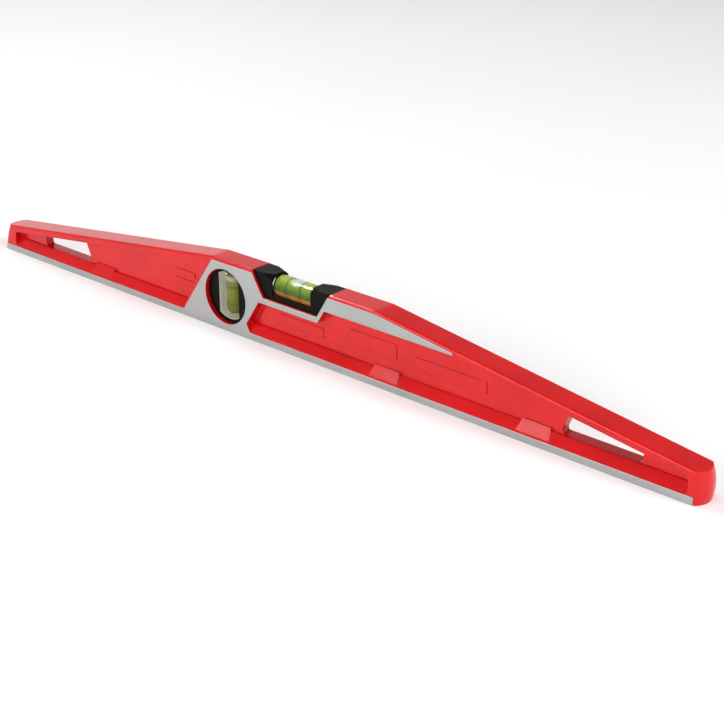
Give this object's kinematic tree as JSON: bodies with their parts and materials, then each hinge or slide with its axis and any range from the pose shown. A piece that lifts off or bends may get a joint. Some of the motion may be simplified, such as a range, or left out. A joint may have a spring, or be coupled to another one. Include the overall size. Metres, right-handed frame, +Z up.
{
  "type": "spirit level",
  "caption": "Cast trapezoid spirit level with a level vial in a notch in its top, a round plumb vial window and hand slots near its ends.",
  "frame": {"origin": "middle of the flat sole", "axes": "+X along the level, towards the end away from the plumb vial; -Y out of the front face; +Z up, square to the sole"},
  "size_m": [0.6, 0.019, 0.049],
  "materials": {
    "painted_casting": "gloss",
    "black_moulding": "satin",
    "white_moulding": "satin",
    "clear_acrylic": "clear",
    "vial_fluid": "clear",
    "vial_bubble": "clear",
    "ring_ink": "matte",
    "orange_strip": "gloss",
    "setting_compound": "matte"
  },
  "bodies": {
    "level": {"cast_body": "painted_casting", "top_vial_cradle": "black_moulding", "top_vial_tube": "clear_acrylic", "top_vial_plug": "clear_acrylic", "top_vial_rings": "ring_ink", "top_vial_fluid": "vial_fluid", "top_vial_reflector": "orange_strip", "top_vial_bedding": "setting_compound", "plumb_housing_front": "black_moulding", "plumb_housing_rear": "black_moulding", "plumb_liner": "white_moulding", "plumb_vial_tube": "clear_acrylic", "plumb_vial_plug": "clear_acrylic", "plumb_vial_rings": "ring_ink", "plumb_vial_fluid": "vial_fluid", "plumb_vial_bedding": "setting_compound"},
    "top_bubble": {"top_vial_bubble": "vial_bubble"},
    "plumb_bubble": {"plumb_vial_bubble": "vial_bubble"}
  },
  "joints": [
    {"name": "top_bubble_slide", "type": "slide", "parent": "level", "child": "top_bubble", "axis": [1, 0, 0], "range_m": [-0.0095, 0.0095], "stiffness_N_per_m": 1, "deforming": ["top_vial_fluid"]},
    {"name": "plumb_bubble_slide", "type": "slide", "parent": "level", "child": "plumb_bubble", "axis": [0, 0, 1], "range_m": [-0.0195, 0], "stiffness_N_per_m": 2, "springref_m": 0.02, "deforming": ["plumb_vial_fluid"]}
  ]
}
